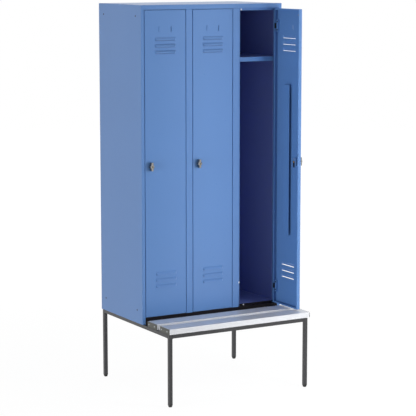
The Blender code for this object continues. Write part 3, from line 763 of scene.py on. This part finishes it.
def stand_camera(scene, studio):
    """The camera, turned right and down from a level view along +Y."""
    lens = bpy.data.cameras.new("camera")
    lens.sensor_width = SENSOR
    lens.lens = studio.camera_lens
    lens.clip_end = CLIP_END
    camera = bpy.data.objects.new("camera", lens)
    camera.location = studio.camera_place
    tilt = math.pi / 2 - studio.camera_pitch
    camera.rotation_euler = (tilt, 0, -studio.camera_yaw)
    scene.collection.objects.link(camera)
    scene.camera = camera


# Operators


class LOCKER_OT_coat_steel(bpy.types.Operator):
    """Powder-coats the cabinet, the doors, the sill and the base frame"""

    bl_idname = "locker.coat_steel"
    bl_label = "Coat the steel"

    def execute(self, context):
        look = context.scene.locker_finishes
        rough, pitch = look.coat_roughness, look.peel_pitch
        blue = powder_coat(
            "powder_coat_blue", look.cabinet_colour, rough, pitch, look.inside_shade_colour
        )
        dress(
            blue,
            "side_",
            "back_panel",
            "roof_panel",
            "floor_panel",
            "header",
            "mullion",
            "partition",
            "shelf",
            "door_panel",
            "stiffener",
            "lock_case",
        )
        black = powder_coat("powder_coat_black", look.sill_colour, rough, pitch)
        # The sill is duller than the other sheets.
        settle(black.node_tree.nodes["Principled BSDF"], Specular_IOR_Level=0.2)
        dress(black, "sill")
        dress(blackened_steel("blackened_steel", look.pin_colour), "hinge")
        grey = powder_coat("powder_coat_dark_grey", look.base_colour, rough + 0.05, pitch)
        dress(grey, "leg", "rail")
        return {"FINISHED"}


class LOCKER_OT_finish_fittings(bpy.types.Operator):
    """Finishes the slats, their caps, the feet, locks, rails and buffers"""

    bl_idname = "locker.finish_fittings"
    bl_label = "Finish the fittings"

    def execute(self, context):
        look = context.scene.locker_finishes
        dress(extruded_aluminium("anodised_aluminium", look.slat_colour), "slat")
        for stem, name, base, roughness, pitch in (
            ("cap", "polyamide_cap", look.cap_colour, 0.5, 1.5 * MM),
            ("foot", "black_polyethylene", look.foot_colour, 0.5, 1.5 * MM),
            ("buffer", "white_rubber", look.buffer_colour, 0.6, 2 * MM),
        ):
            dress(moulded(name, base, roughness, pitch), stem)
        for stem, name, base, roughness, spread, pitch in (
            ("knob", "satin_nickel", look.knob_colour, 0.28, 0.05, 9 * MM),
            ("cam", "blackened_zinc", look.cam_colour, 0.45, 0.12, 12 * MM),
            ("coat_rail", "bright_zinc", look.rail_colour, 0.3, 0.06, 20 * MM),
        ):
            dress(plated_metal(name, base, roughness, spread, pitch), stem)
        # Two metals that only the small fittings have.
        plated_metal("yellow_zinc", look.nut_colour, 0.34, 0.15, 8 * MM)
        plated_metal("dull_brass", look.core_colour, 0.4, 0.1, 6 * MM)
        return {"FINISHED"}


class LOCKER_OT_add_cap_screws(bpy.types.Operator):
    """Adds two cross-recessed screw heads to each slat cap"""

    bl_idname = "locker.add_cap_screws"
    bl_label = "Add the caps' screws"

    def execute(self, context):
        size = context.scene.locker_fittings
        seats = []
        for side, out in (("left", LEFT), ("right", RIGHT)):
            for row in ("front", "rear"):
                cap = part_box(f"cap_{row}_{side}")
                middle = (cap[0] + cap[1]) / 2
                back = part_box(f"slat_{row}")[1].y
                for k in range(2):
                    at = onto_face(middle, out, cap)
                    at.y = back - size.screw_from_back - k * size.screw_spacing
                    seats.append((at, out, UP))
        cross = head(size.screw_d, size.screw_h, crown=5.0, arms=2, steps=31)
        grids = placed(cross, seats)
        material = bpy.data.materials["bright_zinc"]
        make_piece("cap_screws", grids, material, "cabinet")
        return {"FINISHED"}


class LOCKER_OT_add_plugs(bpy.types.Operator):
    """Closes the connection holes of the cabinet's sides with plugs"""

    bl_idname = "locker.add_plugs"
    bl_label = "Add the plugs"

    def execute(self, context):
        size = context.scene.locker_fittings
        seats = []
        for side, out in (("left", LEFT), ("right", RIGHT)):
            low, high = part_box(f"side_{side}")
            for y in (low.y + PLUG_FROM_FRONT, high.y - PLUG_FROM_BACK):
                for z in (high.z - PLUG_FROM_TOP, low.z + PLUG_FROM_BOTTOM):
                    at = onto_face(Vector((0, y, z)), out, (low, high))
                    seats.append((at, out, UP))
        grids = placed(head(size.plug_d, size.plug_h), seats)
        material = bpy.data.materials["black_polyethylene"]
        make_piece("side_plugs", grids, material, "cabinet")
        return {"FINISHED"}


class LOCKER_OT_add_buffers(bpy.types.Operator):
    """Adds the white buffers on the header and on each left door stop"""

    bl_idname = "locker.add_buffers"
    bl_label = "Add the buffers"

    def execute(self, context):
        size = context.scene.locker_fittings
        head_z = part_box("header")[0].z + HEAD_BUFFER_RISE
        side_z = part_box("sill")[1].z + SIDE_BUFFER_RISE
        seats = []
        for k in DOORS:
            low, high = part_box(f"buffer_{k}")
            edge = (low.x + high.x) / 2 - SILL_BUFFER_FROM_EDGE
            # In the corner of the header's stop, and low on the side's stop.
            for x, z in ((HEAD_BUFFER_FROM_EDGE, head_z), (SIDE_BUFFER_FROM_EDGE, side_z)):
                seats.append((Vector((edge + x, high.y, z)), FRONT, UP))
        grids = placed(head(size.buffer_d, size.buffer_h, crown=3.0), seats)
        material = bpy.data.materials["white_rubber"]
        make_piece("stop_buffers", grids, material, "cabinet")
        return {"FINISHED"}


class LOCKER_OT_add_rivets(bpy.types.Operator):
    """Adds the rivets of the hinge brackets and screws of the lock cases"""

    bl_idname = "locker.add_rivets"
    bl_label = "Add rivets and case screws"

    def execute(self, context):
        size = context.scene.locker_fittings
        black = bpy.data.materials["blackened_steel"]
        yellow = bpy.data.materials["yellow_zinc"]
        for k in DOORS:
            point, inward = door_frame(k)
            seats = []
            for end in ("top", "bottom"):
                low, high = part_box(f"hinge_{k}_{end}")
                middle = (low.z + high.z) / 2
                for half in (-0.5, 0.5):
                    z = middle + half * size.rivet_span
                    at = point(RIVET_FROM_EDGE, BRACKET_DEPTH, z)
                    seats.append((at, inward, UP))
            grids = placed(head(size.rivet_d, size.rivet_h, crown=2.5), seats)
            make_piece(f"hinge_rivets_{k}", grids, black, f"door_{k}")

            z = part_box(f"door_panel_{k}")[1].z - LIP_RIVET_DROP
            at = point(DOOR_W - LIP_RIVET_FROM_FREE_EDGE, LIP_DEPTH, z)
            rivet = head(size.lip_rivet_d, size.rivet_h, crown=2.5)
            grids = placed(rivet, [(at, inward, UP)])
            make_piece(f"lip_rivet_{k}", grids, yellow, f"door_{k}")

            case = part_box(f"lock_case_{k}")
            middle = onto_face((case[0] + case[1]) / 2, inward, case)
            seats = []
            for half in (-0.5, 0.5):
                at = middle + half * size.case_screw_span * UP
                seats.append((at, inward, UP))
            slotted = head(size.case_screw_d, CASE_SCREW_HEIGHT, arms=1, steps=25)
            grids = placed(slotted, seats)
            make_piece(f"case_screws_{k}", grids, yellow, f"door_{k}")
        return {"FINISHED"}


class LOCKER_OT_add_card_holders(bpy.types.Operator):
    """Presses the lips beside a name card's slits and the rib it stands on"""

    bl_idname = "locker.add_card_holders"
    bl_label = "Add the card holders"

    def execute(self, context):
        size = context.scene.locker_fittings
        blue = bpy.data.materials["powder_coat_blue"]
        mound = rib(CARD_RIB_W, size.rib_h, size.rib_out)
        left_lip = lip(size.lip_w, CARD_H, size.lip_out, CARD_SHEET)
        for k in DOORS:
            point, inward = door_frame(k)
            door_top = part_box(f"door_panel_{k}")[1].z
            at = point(DOOR_W / 2, 0, door_top - CARD_RIB_DROP)
            grids = placed(mound, [(at, -inward, UP)])
            make_piece(f"card_rib_{k}", grids, blue, f"door_{k}", sharp=60)

            lips = []
            for side in (-1, 1):
                edge = DOOR_W / 2 + side * (CARD_W + CARD_SLIT) / 2
                at = point(edge, 0, door_top - CARD_DROP)
                mirrored = left_lip * np.array((side, 1, 1))
                lips.append(placed(mirrored, [(at, -inward, UP)]))
            grids = np.concatenate(lips)
            make_piece(f"card_lips_{k}", grids, blue, f"door_{k}", sharp=60)
        return {"FINISHED"}


class LOCKER_OT_add_lock_parts(bpy.types.Operator):
    """Sets a slotted key core into each knob's nose and a nut on each cam"""

    bl_idname = "locker.add_lock_parts"
    bl_label = "Add key cores and cam nuts"

    def execute(self, context):
        size = context.scene.locker_fittings
        brass = bpy.data.materials["dull_brass"]
        yellow = bpy.data.materials["yellow_zinc"]
        core = head(size.core_d, CORE_HEIGHT, crown=8.0, arms=1, steps=33)
        hexagon = nut(size.nut_w, size.nut_h)
        for k in DOORS:
            axis = axis_of(f"lock_{k}_turn")
            _, inward = door_frame(k)
            at = onto_face(axis, -inward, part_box(f"knob_{k}"))
            grids = placed(core, [(at, -inward, UP)])
            make_piece(f"lock_core_{k}", grids, brass, f"lock_{k}")

            at = onto_face(axis, inward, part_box(f"cam_{k}"))
            grids = placed(hexagon, [(at, inward, UP)])
            make_piece(f"cam_nut_{k}", grids, yellow, f"lock_{k}")
        return {"FINISHED"}


class LOCKER_OT_add_weld_spots(bpy.types.Operator):
    """Marks the spot welds of the back panel's seams"""

    bl_idname = "locker.add_weld_spots"
    bl_label = "Mark the spot welds"

    def execute(self, context):
        size = context.scene.locker_fittings
        low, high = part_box("back_panel")
        columns = [low.x + SPOT_INSET, high.x - SPOT_INSET]
        for k in (1, 2):
            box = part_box(f"partition_{k}")
            columns.append((box[0].x + box[1].x) / 2 + SPOT_INSET)
        count = int((high.z - low.z - 2 * SPOT_INSET) / size.spot_pitch)
        heights = np.linspace(low.z + 2 * SPOT_INSET, high.z - 2 * SPOT_INSET, count + 1)
        seats = [(Vector((x, high.y, z)), BACK, UP) for x in columns for z in heights]
        across = np.linspace(columns[0], columns[1], size.spots_across)
        for z in (low.z + SPOT_INSET, high.z - SPOT_INSET):
            seats += [(Vector((x, high.y, z)), BACK, UP) for x in across[1:-1]]
        grids = placed(weld_spot(size.spot_d, SPOT_HEIGHT), seats)
        blue = bpy.data.materials["powder_coat_blue"]
        make_piece("back_weld_spots", grids, blue, "cabinet", sharp=60)
        return {"FINISHED"}


class LOCKER_OT_add_weld_beads(bpy.types.Operator):
    """Lays the fillet welds in the inner corners of the base frame"""

    bl_idname = "locker.add_weld_beads"
    bl_label = "Weld the base frame"

    def execute(self, context):
        leg = context.scene.locker_fittings.bead_leg
        beads = []
        for row in ("front", "rear"):
            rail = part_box(f"rail_{row}")
            for side, inner in (("left", RIGHT), ("right", LEFT)):
                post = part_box(f"leg_{row}_{side}")
                x = post[1].x if side == "left" else post[0].x
                start = Vector((x, rail[0].y, rail[0].z))
                end = Vector((x, rail[1].y, rail[0].z))
                beads.append(bead(start, end, inner, DOWN, leg))
                y = post[1].y if row == "front" else post[0].y
                start = Vector((post[0].x, y, rail[0].z))
                end = Vector((post[1].x, y, rail[0].z))
                inward = BACK if row == "front" else FRONT
                beads.append(bead(start, end, inward, DOWN, leg))
        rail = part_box("rail_middle")
        for side, inner in (("left", RIGHT), ("right", LEFT)):
            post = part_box(f"rail_{side}")
            x = post[1].x if side == "left" else post[0].x
            for y, out in ((rail[0].y, FRONT), (rail[1].y, BACK)):
                start, end = Vector((x, y, rail[0].z)), Vector((x, y, rail[1].z))
                beads.append(bead(start, end, inner, out, leg))
        grids = np.concatenate(beads)
        grey = bpy.data.materials["powder_coat_dark_grey"]
        make_piece("frame_welds", grids, grey, "cabinet", sharp=60)
        return {"FINISHED"}


class LOCKER_OT_set_stage(bpy.types.Operator):
    """Sets up the floor, the white surroundings, the lamps and the camera"""

    bl_idname = "locker.set_stage"
    bl_label = "Set the stage"

    def execute(self, context):
        scene, studio = context.scene, context.scene.locker_studio
        white_world(scene, studio.room_level)
        lay_floor(studio.floor_glow)
        for name, (size, place) in LAMPS.items():
            hang_lamp(f"{name}_lamp", getattr(studio, f"{name}_power"), size, place)
        stand_camera(scene, studio)
        scene.view_settings.view_transform = "Standard"
        return {"FINISHED"}


OPERATORS = (
    LOCKER_OT_coat_steel,
    LOCKER_OT_finish_fittings,
    LOCKER_OT_add_cap_screws,
    LOCKER_OT_add_plugs,
    LOCKER_OT_add_buffers,
    LOCKER_OT_add_rivets,
    LOCKER_OT_add_card_holders,
    LOCKER_OT_add_lock_parts,
    LOCKER_OT_add_weld_spots,
    LOCKER_OT_add_weld_beads,
    LOCKER_OT_set_stage,
)


class LOCKER_PT_panel(bpy.types.Panel):
    """Steps and values of the locker"""

    bl_idname = "LOCKER_PT_panel"
    bl_label = "Locker with bench"
    bl_space_type = "VIEW_3D"
    bl_region_type = "UI"
    bl_category = "Locker"

    def draw(self, context):
        for operator in OPERATORS:
            self.layout.operator(operator.bl_idname)
        for name in GROUPS:
            group = getattr(context.scene, name)
            box = self.layout.box()
            for value in group.__annotations__:
                box.prop(group, value)


GROUPS = {
    "locker_finishes": LockerFinishes,
    "locker_fittings": LockerFittings,
    "locker_studio": LockerStudio,
}
CLASSES = (*GROUPS.values(), *OPERATORS, LOCKER_PT_panel)


def register():
    for cls in CLASSES:
        bpy.utils.register_class(cls)
    for name, group in GROUPS.items():
        setattr(bpy.types.Scene, name, PointerProperty(type=group))


def unregister():
    for name in GROUPS:
        delattr(bpy.types.Scene, name)
    for cls in reversed(CLASSES):
        bpy.utils.unregister_class(cls)


def main():
    register()
    for operator in OPERATORS:
        group, name = operator.bl_idname.split(".")
        getattr(getattr(bpy.ops, group), name)()


if __name__ == "__main__":
    main()
